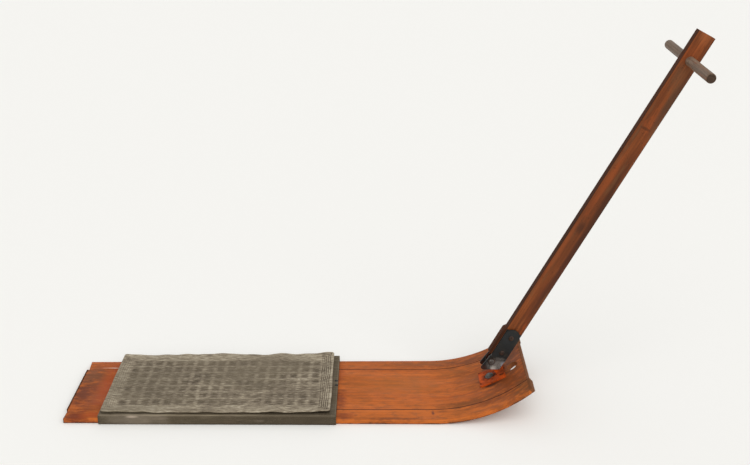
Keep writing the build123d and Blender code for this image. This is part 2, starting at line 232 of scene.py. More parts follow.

# Deck: ash boards, stained orange and varnished, rubbed through and dirty in patches; some patches and the
# dark lower edge are painted shade.
# Places along it count from where the curl starts, and negative ones lie towards the tail.
deckLook = {
    "varnish": {"IOR": 1.5, "Specular IOR Level": 0.17},
    "flatLength": 770 * mm, "curlRadius": 305 * mm, "midHalfWidth": 124.75 * mm, "taper": 0.00617,
    "boreAlong": 192.7 * mm, "tailLine": 768.2 * mm, "noseLine": 220.5 * mm,
    "boardShift": (0.37, 0.05, 0.0),
    # Fields: size of the marks, then detail, roughness, shift and distortion
    "grain": ((110 * mm, 2.0 * mm, 2.0 * mm), 4, 0.6),
    "figure": ((300 * mm, 9 * mm, 9 * mm), 3, 0.55, (3.1, 7.7, 0), 0.5),
    "streak": ((60 * mm, 5 * mm, 5 * mm), 4, 0.65, (1.2, 5.1, 0)),
    "mottle": ((22 * mm, 9 * mm, 9 * mm), 4, 0.7, (5, 1, 2)),
    "cloud": ((110 * mm, 42 * mm, 42 * mm), 3, 0.6, (8, 2, 0)),
    "specks": ((9 * mm, 3 * mm, 3 * mm), 2, 0.6),
    "scratches": ((60 * mm, 0.9 * mm, 4 * mm), 2, 0.5, (6, 3, 0), 0.15),
    # Tones: colour, the span of the field over which it sets in, and strength
    "figureColours": ((0.30, "#C96B29"), (0.47, "#BD6225"), (0.62, "#B15920"), (0.75, "#9F4B1B")),
    "nearBoard": ("#CB6D26", (0, -1), 0.45), "farBoard": ("#A05425", (0, 1), 0.4),
    "grainTone": ("#83401A", (0.42, 0.75), 0.5), "streakTone": ("#844E28", (0.52, 0.8), 0.5),
    "noseTone": ("#703819", (30 * mm, 210 * mm), 0.62), "noseSpan": (0.3, 0.6), "noseShares": (0.4, 1.25),
    "cloudTone": ("#844E28", (0.52, 0.7), 0.5), "mottleTone": ("#844E28", (0.47, 0.7), 0.62),
    "freshTone": ("#C86A26", (0.5, 0.3), 0.5), "speckTone": ("#4A2E1C", (0.68, 0.76), 0.5),
    "scratchTone": ("#D0A07A", (0.7, 0.8), 0.35), "soleTone": ("#9A6A46", (1.2 * mm, 0.2 * mm), 0.6),
    "jointTone": ("#351C10", (1.9 * mm, 0.7 * mm), 0.9), "jointSpan": (-720 * mm, -180 * mm),
    "jointLeast": 0.12, "boreTone": ("#7A4A2A", (14.6 * mm, 13.4 * mm), 0.7),
    # rimTone: painted shade along the lower edge of the outer sides; it also darkens a band round the tail
    "rimTone": ("#452817", (0.6 * mm, -1.6 * mm), 0.92), "rimRagged": 4 * mm, "footSlope": 0.55,
    "noseEndTone": ("#6E4529", (0.6 * mm, -1.6 * mm), 0.92), "endsDulled": 0.2944,
    "gloss": ((0.35, 0.7), (0.46, 0.68)), "bumps": ((0.5 * mm, 0.35), (0.8 * mm, 0.3), (0.3 * mm, 0.25)),
    # Marks seen on it: place, reach, colour, strength
    "patches": (
        ((-0.725, 0.000, 0), (0.080, 0.170, 1), "#7C3D20", 0.75),
        ((-0.745, -0.110, 0), (0.050, 0.036, 1), "#743218", 0.9),
        ((-0.748, 0.050, 0), (0.040, 0.060, 1), "#6A4630", 0.65),
        ((-0.752, -0.020, 0), (0.036, 0.070, 1), "#5A2A18", 0.7),
        ((-0.714, -0.104, 0), (0.034, 0.022, 1), "#B55018", 0.6),
        ((-0.709, 0.103, 0), (0.060, 0.024, 1), "#A04E20", 0.7),
        ((-0.704, 0.020, 0), (0.030, 0.140, 1), "#B04A1A", 0.55),
        ((-0.717, 0.0905, 0), (0.026, 0.0026, 1), "#D8C3B2", 1.0),
        # These three: painted shade on the deck at the foot of the pad's front end
        ((-0.194, -0.046, 0), (0.020, 0.060, 1), "#7A3416", 0.7),
        ((-0.186, -0.106, 0), (0.030, 0.022, 1), "#7A3618", 0.7),
        ((-0.198, 0.070, 0), (0.016, 0.060, 1), "#A04A1E", 0.6),
        ((-0.150, 0.010, 0), (0.050, 0.100, 1), "#A0561E", 0.4),
        ((-0.020, 0.108, 0), (0.120, 0.014, 1), "#804A26", 0.7),
        ((0.000, -0.0975, 0), (0.0050, 0.014, 1), "#4A2826", 0.75),
        ((0.020, -0.094, 0), (0.040, 0.008, 1), "#6E3C20", 0.5),
        ((-0.060, 0.020, 0), (0.130, 0.060, 1), "#A4602A", 0.5),
        ((-0.080, -0.120, 0), (0.100, 0.008, 1), "#5A3018", 0.6),
        ((0.070, -0.075, 0), (0.090, 0.018, 1), "#74421E", 0.7),
        ((0.1030, 0.012, 0), (0.080, 0.060, 1), "#8A481C", 0.6),
        ((0.1270, -0.090, 0), (0.090, 0.018, 1), "#783C1A", 0.65),
        ((0.1480, 0.000, 0), (0.060, 0.060, 1), "#5E3418", 0.8),
        # Painted shadow under the hinge plate's near edge, with dirt
        ((0.1400, -0.0325, 0), (0.042, 0.014, 1), "#2A160C", 1.0),
        ((0.1740, -0.050, 0), (0.060, 0.060, 1), "#743C1B", 0.65),
        # Painted shadow behind the handle's foot, with dirt and rust
        ((0.1400, 0.024, 0), (0.026, 0.030, 1), "#2A1810", 0.85),
        ((0.2010, 0.056, 0), (0.040, 0.070, 1), "#6E3A1C", 0.7),
        ((0.2090, -0.100, 0), (0.030, 0.050, 1), "#6A4422", 0.6),
        ((0.1100, 0.098, 0), (0.150, 0.018, 1), "#6A381C", 0.7),
    ),
}


def curledSpace(tree, look):
    # Object coordinates unrolled along the board: length from the curl's start, width, and depth
    place = addNode(tree, "TexCoord", out="Object")
    x, y, z = addNode(tree, "SeparateXYZ", {}, {0: place}, None).outputs
    ahead = addNode(tree, "Math", {"operation": "SUBTRACT", 1: deckLow.x + look["flatLength"]}, {0: x})
    flat = addNode(tree, "Math", {"operation": "MINIMUM", 1: 0.0}, {0: ahead})
    curled = addNode(tree, "Math", {"operation": "MAXIMUM", 1: 0.0}, {0: ahead})
    rise = addNode(tree, "Math", {"operation": "SUBTRACT", 0: look["curlRadius"]}, {1: z})
    turn = addNode(tree, "Math", {"operation": "ARCTAN2"}, {0: curled, 1: rise})
    along = addNode(tree, "Math", {"operation": "MULTIPLY_ADD", 1: look["curlRadius"]}, {0: turn, 2: flat})
    reach = addNode(tree, "CombineXYZ", {}, {0: curled, 2: rise})
    radius = addNode(tree, "VectorMath", {"operation": "LENGTH"}, {0: reach}, "Value")
    depth = addNode(tree, "Math", {"operation": "SUBTRACT", 0: look["curlRadius"]}, {1: radius})
    return addNode(tree, "CombineXYZ", {}, {0: along, 1: y, 2: depth})


def edgeDistances(tree, look, along, side, depth):
    # How far a point of the deck is from the foot of its outer sides or the tail, and from the nose's end
    half = addNode(tree, "Math", {"operation": "MULTIPLY_ADD", 1: look["taper"], 2: look["midHalfWidth"]},
                   {0: along})
    fromSide = addNode(tree, "Math", {"operation": "SUBTRACT"}, {0: half, 1: side})
    fromFoot = addNode(tree, "Math", {"operation": "MULTIPLY_ADD", 1: look["footSlope"]},
                       {0: depth, 2: fromSide})
    fromTail = addNode(tree, "Math", {"operation": "ADD", 1: look["tailLine"]}, {0: along})
    fromRim = addNode(tree, "Math", {"operation": "MINIMUM"}, {0: fromFoot, 1: fromTail})
    fromNose = addNode(tree, "Math", {"operation": "SUBTRACT", 0: look["noseLine"]}, {1: along})
    return fromRim, fromNose


def deckWood(look):
    # Satin varnish over a coloured stain: long soft streaks, brown where rubbed off, black in the joints
    material, tree, shader = newMaterial("stainedAshVarnished", look["varnish"])
    space = curledSpace(tree, look)
    along, across, depth = addNode(tree, "SeparateXYZ", {}, {0: space}, None).outputs
    jointY = deckHigh.y
    board = addNode(tree, "Math", {"operation": "DIVIDE", 1: 2 * jointY}, {0: across})
    board = addNode(tree, "Math", {"operation": "ROUND"}, {0: board})
    # Each board starts its grain somewhere else
    woodSpace = addNode(tree, "VectorMath", {"operation": "MULTIPLY_ADD", 1: look["boardShift"]},
                        {0: board, 2: space})
    figure, grain, streak, mottle = [marks(tree, woodSpace, *look[name])
                                     for name in ("figure", "grain", "streak", "mottle")]
    cloud, specks, scratches = [marks(tree, space, *look[name]) for name in ("cloud", "specks", "scratches")]
    colour = addNode(tree, "ValToRGB", {"stops": look["figureColours"]}, {0: figure})
    colour = layTone(tree, colour, board, look["nearBoard"], "LINEAR")
    colour = layTone(tree, colour, board, look["farBoard"], "LINEAR")
    colour = layTone(tree, colour, grain, look["grainTone"])
    colour = layTone(tree, colour, streak, look["streakTone"])
    # The nose has gone browner than the flat
    noseShare = addNode(tree, "MapRange", {"interpolation_type": "SMOOTHSTEP",
                                           "From Min": look["noseSpan"][0], "From Max": look["noseSpan"][1],
                                           "To Min": look["noseShares"][0], "To Max": look["noseShares"][1]},
                        {"Value": mottle})
    colour = layTone(tree, colour, along, look["noseTone"], share=noseShare)
    colour = layTone(tree, colour, cloud, look["cloudTone"])
    colour = layTone(tree, colour, mottle, look["mottleTone"])
    colour = layTone(tree, colour, mottle, look["freshTone"])
    colour = wornAndPaintedLightPatches(tree, space, mottle, colour, look["patches"])
    colour = layTone(tree, colour, specks, look["speckTone"], "LINEAR")
    colour = layTone(tree, colour, scratches, look["scratchTone"], "LINEAR")
    # The sole is rubbed pale by snow and gravel
    colour = layTone(tree, colour, depth, look["soleTone"], "LINEAR")
    # Dirt in the two glued joints, ahead of the pad
    side = addNode(tree, "Math", {"operation": "ABSOLUTE"}, {0: across})
    fromJoint = addNode(tree, "Math", {"operation": "SUBTRACT", 1: jointY}, {0: side})
    fromJoint = addNode(tree, "Math", {"operation": "ABSOLUTE"}, {0: fromJoint})
    ahead = addNode(tree, "MapRange", {"From Min": look["jointSpan"][0], "From Max": look["jointSpan"][1],
                                       "To Min": look["jointLeast"]}, {"Value": along})
    colour = layTone(tree, colour, fromJoint, look["jointTone"], "LINEAR", ahead)
    # Painted shade as a dark line along the foot of the outer sides, also darkening round the tail, and a
    # browner line at the nose
    fromRim, fromNose = [addNode(tree, "Math", {"operation": "MULTIPLY_ADD", 1: -look["rimRagged"]},
                                 {0: mottle, 2: distance})
                         for distance in edgeDistances(tree, look, along, side, depth)]
    colour = layTone(tree, colour, fromRim, look["rimTone"])
    colour = layTone(tree, colour, fromNose, look["noseEndTone"])
    # The rope hole's wall is bare and dark
    hole = addNode(tree, "VectorMath", {"operation": "SUBTRACT", 1: (look["boreAlong"], 0, 0)}, {0: space})
    hole = addNode(tree, "VectorMath", {"operation": "MULTIPLY", 1: (1, 1, 0)}, {0: hole})
    hole = addNode(tree, "VectorMath", {"operation": "LENGTH"}, {0: hole}, "Value")
    colour = layTone(tree, colour, hole, look["boreTone"], "LINEAR")
    tree.links.new(colour, shader.inputs["Base Color"])
    # The cut ends have lost their varnish
    fromEnds = addNode(tree, "Math", {"operation": "MINIMUM"}, {0: fromRim, 1: fromNose})
    start, full = look["rimTone"][1]
    dulled = addNode(tree, "MapRange", {"interpolation_type": "SMOOTHSTEP", "From Min": start,
                                        "From Max": full, "To Max": look["endsDulled"]}, {"Value": fromEnds})
    roughen(tree, shader, cloud, look["gloss"], dulled)
    surfaceBump(tree, shader, (grain, streak, specks), look["bumps"])
    return material


deckMaterial = deckWood(deckLook)
for name in ("deck_middle_board", "deck_left_board", "deck_right_board"):
    finish(nodes[name], deckMaterial)
print("deck finished")

# Handle: the same stain, darker with handling, with painted shade along the stick's front edge and painted
# light along its rear edge, and the bare grey-brown dowel.
# Places on them count from the middle between the strap bolts: up the stick, across, and to its rear.
handleLook = {
    "finish": {"IOR": 1.5, "Specular IOR Level": 0.14}, "stickHalf": 18.5 * mm,
    # Fields: marks along the piece and across it, then detail, roughness, shift and distortion
    "grain": ((80 * mm, 2.6 * mm), 4, 0.6), "figure": ((192 * mm, 6.24 * mm), 3, 0.6, (2, 4, 6), 0.3),
    "cloud": ((104 * mm, 16 * mm), 3, 0.6, (2, 5, 1)), "patchy": ((104 * mm, 16 * mm), 4, 0.65, (9, 3, 4)),
    "specks": ((4 * mm, 4 * mm), 3, 0.7),
    "colours": ((0.28, "#904C24"), (0.45, "#7E421E"), (0.6, "#6C381A"), (0.75, "#562C15")),
    "grainTone": ("#2C180D", (0.46, 0.8), 0.4), "wornTone": ("#6E4C30", (0.52, 0.7), 0.6),
    "brightTone": ("#9C4A1E", (0.54, 0.7), 0.75), "speckTone": ("#2A180F", (0.62, 0.72), 0.6),
    "rimTone": ("#2C180D", (1.6 * mm, 0.1 * mm), 0.8), "rimDulled": 0.288,
    "gloss": ((0.3, 0.7), (0.42, 0.62)), "bumps": ((0.5 * mm, 0.4), (0.3 * mm, 0.2)),
    "patches": (
        ((0.300, 0, 0.000), (0.280, 1, 0.040), "#4E2A18", 0.5),
        ((0.110, 0, -0.008), (0.070, 1, 0.014), "#5A2F1A", 0.6),
        # These two: painted shade along the stick's front edge
        ((0.200, 0, -0.012), (0.150, 1, 0.012), "#46261A", 0.8),
        ((0.360, 0, -0.014), (0.180, 1, 0.011), "#3E2316", 0.85),
        # These two: painted light along the stick's rear edge, which faces the light from above
        ((0.420, 0, 0.010), (0.110, 1, 0.010), "#92481F", 0.6),
        ((0.250, 0, 0.012), (0.090, 1, 0.008), "#8E4822", 0.5),
        ((0.300, 0, 0.002), (0.020, 1, 0.012), "#3A2216", 0.6),
        ((0.538, 0, 0.002), (0.004, 1, 0.016), "#3E2414", 0.6),
        # Painted shade along the stick's front edge
        ((0.600, 0, -0.012), (0.090, 1, 0.012), "#4E3626", 0.75),
        ((0.660, 0, 0.002), (0.050, 1, 0.020), "#6E4A30", 0.6),
        ((0.700, 0, 0.006), (0.034, 1, 0.016), "#8A4420", 0.5),
        ((0.765, 0, 0.000), (0.050, 1, 0.024), "#9C5A32", 0.6),
    ),
}
gripLook = {
    **handleLook, "patches": (),
    "grain": ((60 * mm, 1.5 * mm), 4, 0.6), "figure": ((144 * mm, 3.6 * mm), 3, 0.6, (2, 4, 6), 0.3),
    "cloud": ((67.6 * mm, 10.4 * mm), 3, 0.6, (2, 5, 1)),
    "patchy": ((67.6 * mm, 10.4 * mm), 4, 0.65, (9, 3, 4)),
    "colours": ((0.28, "#8A7260"), (0.45, "#75604F"), (0.6, "#604C3D"), (0.75, "#4A3A2E")),
    "grainTone": ("#33261D", (0.46, 0.8), 0.4), "wornTone": ("#8C7C6C", (0.52, 0.7), 0.6),
    "brightTone": ("#7A5038", (0.54, 0.7), 0.75), "speckTone": ("#2A2019", (0.62, 0.72), 0.6),
    "rimTone": ("#33261D", (1.6 * mm, 0.1 * mm), 0.8),
}


def handledWood(name, look, runs, spaceOn, rimOn):
    # Hand-worn wood with a low sheen: streaks along the piece, greasy dark places and patches of painted
    # light and shade, dark rubbed edges
    material, tree, shader = newMaterial(name, look["finish"])
    space = spaceOn(tree)

    def alongPiece(field):
        (length, width), *rest = look[field]
        return marks(tree, space, [length if run else width for run in runs], *rest)

    grain, figure, cloud, patchy, specks = [alongPiece(field) for field in
                                            ("grain", "figure", "cloud", "patchy", "specks")]
    colour = addNode(tree, "ValToRGB", {"stops": look["colours"]}, {0: figure})
    colour = layTone(tree, colour, grain, look["grainTone"])
    colour = layTone(tree, colour, cloud, look["wornTone"])
    colour = layTone(tree, colour, patchy, look["brightTone"])
    colour = wornAndPaintedLightPatches(tree, space, patchy, colour, look["patches"])
    colour = layTone(tree, colour, specks, look["speckTone"], "LINEAR")
    fromRim = rimOn(tree, space)
    colour = layTone(tree, colour, fromRim, look["rimTone"])
    tree.links.new(colour, shader.inputs["Base Color"])
    start, full = look["rimTone"][1]
    dulled = addNode(tree, "MapRange", {"interpolation_type": "SMOOTHSTEP", "From Min": start,
                                        "From Max": full, "To Max": look["rimDulled"]}, {"Value": fromRim})
    roughen(tree, shader, cloud, look["gloss"], dulled)
    surfaceBump(tree, shader, (grain, specks), look["bumps"])
    return material


strapMiddle = (strapLow + strapHigh) / 2
stickAxis = (gripLow + gripHigh) / 2 - strapMiddle
stickLean = math.atan2(stickAxis.z, stickAxis.x)
gripHalf = (gripHigh.y - gripLow.y) / 2


def stickSpace(tree):
    place = addNode(tree, "TexCoord", out="Object")
    away = addNode(tree, "VectorMath", {"operation": "SUBTRACT", 1: (strapMiddle.x, 0, strapMiddle.z)},
                   {0: place})
    return addNode(tree, "Mapping", {"Rotation": (0, stickLean, 0)}, {"Vector": away})


def stickRim(tree, space):
    # How far a point of the stick is from its front and rear edges
    rear = addNode(tree, "SeparateXYZ", {}, {0: space}, 2)
    rear = addNode(tree, "Math", {"operation": "ABSOLUTE"}, {0: rear})
    return addNode(tree, "Math", {"operation": "SUBTRACT", 0: handleLook["stickHalf"]}, {1: rear})


def gripSpace(tree):
    return addNode(tree, "TexCoord", out="Object")


def gripRim(tree, space):
    # How far a point of the dowel is from its ends
    across = addNode(tree, "SeparateXYZ", {}, {0: space}, 1)
    across = addNode(tree, "Math", {"operation": "ABSOLUTE"}, {0: across})
    return addNode(tree, "Math", {"operation": "SUBTRACT", 0: gripHalf}, {1: across})


stickMaterial = handledWood("stainedAshHandled", handleLook, (1, 0, 0), stickSpace, stickRim)
gripMaterial = handledWood("weatheredBirchDowel", gripLook, (0, 1, 0), gripSpace, gripRim)
for name in ("handle_stick", "packing_strip"):
    finish(nodes[name], stickMaterial)
finish(nodes["grip_dowel"], gripMaterial)
print("handle wood finished")

# Steel: chipped paint over brown rust, and bare fittings. Patches are at places on the sled; some are painted
# shade or painted highlights.
steelLooks = {
    # Stove enamel, gone matt: red-orange, with dark scabs where it has chipped, and near-black round the
    # pivot for worn enamel and painted shade
    "redEnamelOnSteel": {
        "colours": ((0.35, "#C8541D"), (0.5, "#B34714"), (0.65, "#933B10")),
        "bare": "#55301C", "edge": "#2E1A10", "chips": (0.56, 0.66), "size": 9 * mm,
        "gloss": (0.5, 0.75), "metal": 0.0, "sheen": 0.1,
        "patches": (
            ((0.2493, 0.0, 0.0406), (0.024, 0.022, 0.024), "#2B170F", 0.95),
            # Near-black round the pivot: worn enamel, and painted shade on the ears' inner faces
            ((0.2516, 0.0, 0.0860), (0.034, 1, 0.030), "#17100D", 1.0),
            ((0.274, 0.0, 0.060), (0.020, 0.024, 0.026), "#4E2A18", 0.8),
            ((0.222, -0.010, 0.036), (0.012, 0.030, 0.016), "#542A18", 0.7))},
    # Baked black coat with a dull shine, rubbed to grey steel at the lower end, with painted highlights on
    # the bare steel
    "blackJapanOnSteel": {
        "colours": ((0.35, "#1C1F20"), (0.5, "#171A1A"), (0.65, "#26241F")),
        "bare": "#3A2E24", "edge": "#1E1814", "chips": (0.60, 0.70), "size": 7 * mm,
        "gloss": (0.38, 0.65), "metal": 0.0, "sheen": 0.3,
        "patches": (
            ((0.266, 0.0, 0.0770), (0.032, 1, 0.024), "#6E6A65", 1.0),
            # These two: painted highlights on the bare steel
            ((0.256, 0.0, 0.0690), (0.011, 1, 0.008), "#B0ACA4", 0.9),
            ((0.276, 0.0, 0.0790), (0.007, 1, 0.012), "#8A9096", 0.8),
            ((0.234, 0.0, 0.0700), (0.012, 1, 0.012), "#3A1C12", 0.8))},
    # Turned steel gone dull, with brown specks
    "bareSteelDull": {
        "colours": ((0.35, "#716E6A"), (0.5, "#625E5A"), (0.65, "#4C4743")),
        "bare": "#4C3E34", "edge": "#30281F", "chips": (0.55, 0.68), "size": 6 * mm,
        "gloss": (0.5, 0.72), "metal": 0.5, "sheen": 0.3, "patches": ()},
    # Forged fittings under an even brown oxide
    "oxidisedSteelDark": {
        "colours": ((0.35, "#523A2C"), (0.5, "#402E24"), (0.65, "#2E221C")),
        "bare": "#2E211A", "edge": "#1E1612", "chips": (0.5, 0.64), "size": 5 * mm,
        "gloss": (0.5, 0.75), "metal": 0.3, "sheen": 0.3, "patches": ()},
}
# Fields of them all: size as a share of the chips' size, detail, roughness and shift
steelMarks = {"chips": (1, 5, 0.62), "tone": (3, 3, 0.6, (4, 2, 8)), "fine": (1 / 6, 2, 0.5),
              "glossSpan": (0.4, 0.65), "bumps": ((0.3 * mm, 0.6), (0.15 * mm, 0.3))}
steelPieces = {
    "redEnamelOnSteel": ("hinge_bracket",),
    "blackJapanOnSteel": ("handle_strap_left", "handle_strap_right", "fork_plate_left", "fork_plate_right"),
    "bareSteelDull": ("pivot_bolt", "pivot_nut", "pivot_spacer", "bracket_screws"),
    "oxidisedSteelDark": ("pivot_washer_left", "pivot_washer_right", "strap_bolts", "strap_nuts"),
}


def steel(name, look):
    # Coat or bare skin of one tone, with chips that show the brown steel below
    material, tree, shader = newMaterial(name, {"Metallic": look["metal"],
                                                "Specular IOR Level": look["sheen"]})
    space = addNode(tree, "TexCoord", out="Object")
    chips, tone, fine = [marks(tree, space, [look["size"] * share] * 3, *rest) for share, *rest in
                         (steelMarks["chips"], steelMarks["tone"], steelMarks["fine"])]
    colour = addNode(tree, "ValToRGB", {"stops": look["colours"]}, {0: tone})
    colour = wornAndPaintedLightPatches(tree, space, chips, colour, look["patches"])
    bare = addNode(tree, "Mix", {"data_type": "RGBA", 6: linear(look["bare"]), 7: linear(look["edge"])},
                   {0: fine}, 2)
    chipped = addNode(tree, "MapRange", {"interpolation_type": "SMOOTHSTEP", "From Min": look["chips"][0],
                                         "From Max": look["chips"][1]}, {"Value": chips})
    colour = addNode(tree, "Mix", {"data_type": "RGBA"}, {0: chipped, 6: colour, 7: bare}, 2)
    tree.links.new(colour, shader.inputs["Base Color"])
    roughen(tree, shader, chips, (steelMarks["glossSpan"], look["gloss"]))
    coat = addNode(tree, "Math", {"operation": "SUBTRACT", 0: 1.0}, {1: chipped})
    surfaceBump(tree, shader, (coat, fine), steelMarks["bumps"])
    return material


steels = {name: steel(name, look) for name, look in steelLooks.items()}
for finishName, pieceNames in steelPieces.items():
    for name in pieceNames:
        finish(nodes[name], steels[finishName])
print("steel finished")

# What the mat's and the pad's surfaces have in common: mark sizes, detail, roughness and shift
rubberLook = {
    "finish": {"IOR": 1.5, "Specular IOR Level": 0.2},
    "cloud": ((60 * mm, 36 * mm, 30 * mm), 4, 0.6), "grit": ((1.6 * mm, 1.2 * mm, 1.2 * mm), 3, 0.6),
    "stain": ((170 * mm, 90 * mm, 90 * mm), 3, 0.55, (7, 2, 3)),
    "gloss": ((0.35, 0.7), (0.62, 0.85)), "bumps": ((1.2 * mm, 0.5), (0.4 * mm, 0.5)),
}


def rubber(name, look):
    # Rubber gone grey: pale dust and painted light on what stands up, brown dirt and painted shade in what
    # lies low
    material, tree, shader = newMaterial(name, rubberLook["finish"])
    space = addNode(tree, "TexCoord", out="Object")
    relief = addNode(tree, "Attribute", {"attribute_name": "relief"}, out="Fac")
    cloud, stain, grit = [marks(tree, space, *rubberLook[field]) for field in ("cloud", "stain", "grit")]
    # Wear runs along the piece in short broken lines
    brushed = marks(tree, space, *look["brushed"])
    height = relief
    for field, share in ((cloud, look["cloudShare"]), (brushed, look["brushShare"])):
        height = addNode(tree, "Math", {"operation": "MULTIPLY_ADD", 1: share}, {0: field, 2: height})
    height = addNode(tree, "MapRange", {"From Min": look["range"][0], "From Max": look["range"][1]},
                     {"Value": height})
    colour = addNode(tree, "ValToRGB", {"stops": look["colours"]}, {0: height})
    colour = layTone(tree, colour, stain, look["stainTone"])
    colour = wornAndPaintedLightPatches(tree, space, cloud, colour, look["patches"])
    colour = layTone(tree, colour, grit, look["dustTone"], "LINEAR")
    tree.links.new(colour, shader.inputs["Base Color"])
    roughen(tree, shader, cloud, rubberLook["gloss"])
    surfaceBump(tree, shader, (brushed, grit), rubberLook["bumps"])
    return material


def smooth(share):
    share = min(max(share, 0.0), 1.0)
    return share * share * (3 - 2 * share)


def ripple(x, y, wave):
    # Smooth noise from a wave's four values: how fast it changes along and across, its seed, its reach
    along, across, seed, reach = wave
    return reach * noise.noise(Vector((x * along, y * across, seed)))


# Rubber mat: a field of ridged pockets inside a border of fine ribs, its rim wavy with age
matLook = {
    "columns": 18, "rows": 7, "columnPitch": 23.5 * mm, "rowPitch": 27.1 * mm, "ridgesPerRow": 4,
    "barHalf": 1.8 * mm, "barSlope": 6.0 * mm, "pocketFlat": 2 * mm, "pocketDepth": 1.6 * mm,
    "stepsPerRow": 24, "stepsPerRib": 6,
    # Shares of the full height
    "pocketFloor": 0.06, "barShare": 0.5, "crossShare": 0.85, "ridgeShare": 0.44, "ridgeUnderBar": 0.3,
    # skirtShare darkens the mat's side below the darkest colour, as painted shade under the lifted rim
    "rimShare": 0.95, "noseRibs": 0.42, "wornRibs": 0.12, "skirtShare": -1.4,
    "ribPitch": 4.4 * mm, "ribEnd": 1.4 * mm, "rimPlain": 3.0 * mm,
    "rimInsets": (1.1 * mm, 0.55 * mm, 0.18 * mm, 0.0), "cornerRadius": 6 * mm, "rimRadius": 1.1 * mm,
    # Age: the pattern drifts and wears down, and the surface swells
    "driftX": (24, 34, 1, 2.4 * mm), "driftY": (26, 26, 5, 1.6 * mm), "swell": (20, 45, 9, 0.5 * mm),
    "keptMiddle": 0.84, "keptWave": (9, 16, 2, 0.8), "keptAcross": 0.2, "keptLeast": 0.4, "wornLevel": 0.52,
    "depthMiddle": 0.75, "depthWave": (16, 22, 3, 0.5),
    "rimLift": 3.6 * mm, "liftReach": 26 * mm, "liftMiddle": 0.75, "liftSwing": 1.3, "liftLeast": 0.1,
    "cornerLift": 3.6 * mm, "cornerReach": 55 * mm, "nearStretch": 2.0 * mm,
    "swayX": 1.3 * mm, "swayY": 1.5 * mm, "longWave": (11, 3), "shortWave": (30, 5), "shortShare": 0.5,
    "liftSeed": 11, "swayXSeed": 21, "swayYSeed": 31,
    "brushed": ((13 * mm, 3.0 * mm, 3.0 * mm), 3, 0.65, (3, 1, 5)),
    "cloudShare": 1.3, "brushShare": 2.2, "range": (1.55, 2.95),
    "colours": ((0.0, "#382F22"), (0.3, "#5C5142"), (0.55, "#7B6F5E"), (0.8, "#9C907B"), (1.0, "#BCB19C")),
    "stainTone": ("#665C4A", (0.45, 0.68), 0.45), "dustTone": ("#A79C88", (0.55, 0.72), 0.4),
    "patches": (((-0.47, 0.0, 0.03), (0.12, 0.16, 1), "#5C5242", 0.5),
                ((-0.28, 0.08, 0.03), (0.24, 0.07, 1), "#6A5F4E", 0.4)),
}
matHalfX = (matHigh.x - matLow.x) / 2
matHalfY = (matHigh.y - matLow.y) / 2


def matRelief(x, y, look):
    # Share of the full height at a place on the mat, from its middle
    halfX = look["columns"] * look["columnPitch"] / 2
    halfY = look["rows"] * look["rowPitch"] / 2
    outX, outY = abs(x) - halfX, abs(y) - halfY
    if outX <= 0 and outY <= 0:
        column = look["columnPitch"]
        fromBar = abs((x + halfX + column / 2) % column - column / 2)
        bar = 1 - smooth((fromBar - look["barHalf"]) / look["barSlope"])
        turn = 2 * math.pi * (y + halfY) / look["rowPitch"]
        cross = 0.5 + 0.5 * math.cos(turn)
        ridge = 0.5 + 0.5 * math.cos(turn * look["ridgesPerRow"])
        return (look["pocketFloor"] + look["barShare"] * max(bar, look["crossShare"] * cross ** 2)
                + look["ridgeShare"] * ridge * (1 - look["ridgeUnderBar"] * bar))
    depth = max(outX, outY)
    border = min(matHalfX - halfX, matHalfY - halfY)
    if depth > border - look["rimPlain"]:
        return look["rimShare"]
    # The ribs are sharp at the nose end, and worn flat at the tail and along the sides
    ribs = look["noseRibs"] if outX > 0 and x > 0 else look["wornRibs"]
    return 1 - ribs * (1 - math.cos(2 * math.pi * depth / look["ribPitch"]))


def featureLines(look, half, count, pitch, cellMarks):
    # Places of the grid's lines along one side: marks inside each cell, then the ribs and the rounded rim
    fieldHalf = count * pitch / 2
    lines = {round(-fieldHalf + cell * pitch + mark, 7) for cell in range(count) for mark in cellMarks}
    outer = [half - inset for inset in look["rimInsets"]]
    place = fieldHalf
    while place < half - look["ribEnd"]:
        outer.append(place)
        place += look["ribPitch"] / look["stepsPerRib"]
    for place in outer:
        lines.update((round(place, 7), round(-place, 7)))
    return sorted(lines)


def rimWave(along, across, look, seed):
    # Long waves of the rim with short ones on them
    return (ripple(along, across, (*look["longWave"], seed, 1.0))
            + ripple(along, 1.0, (*look["shortWave"], seed, look["shortShare"])))


def wornHeight(x, y, fromRim, look):
    # Share of the full height and the height itself, with the pattern adrift and worn down in places
    share = matRelief(x + ripple(x, y, look["driftX"]), y + ripple(x, y, look["driftY"]), look)
    kept = look["keptMiddle"] + ripple(x, y, look["keptWave"]) + look["keptAcross"] * y / matHalfY
    kept = min(max(kept, look["keptLeast"]), 1.0)
    share = look["wornLevel"] + (share - look["wornLevel"]) * kept
    rimRadius = look["rimRadius"]
    roundOff = rimRadius - math.sqrt(max(rimRadius ** 2 - max(rimRadius - fromRim, 0) ** 2, 0))
    depth = look["pocketDepth"] * (1 - share) * (look["depthMiddle"] + ripple(x, y, look["depthWave"]))
    return share, matHigh.z - matLow.z - depth - roundOff + ripple(x, y, look["swell"])


def roundedCorner(x, y, look):
    # The same place with the mat's square corners drawn in to its corner radius
    overX = abs(x) - matHalfX + look["cornerRadius"]
    overY = abs(y) - matHalfY + look["cornerRadius"]
    if overX <= 0 or overY <= 0:
        return x, y
    pull = max(overX, overY) / math.hypot(overX, overY)
    return (math.copysign(matHalfX - look["cornerRadius"] + overX * pull, x),
            math.copysign(matHalfY - look["cornerRadius"] + overY * pull, y))


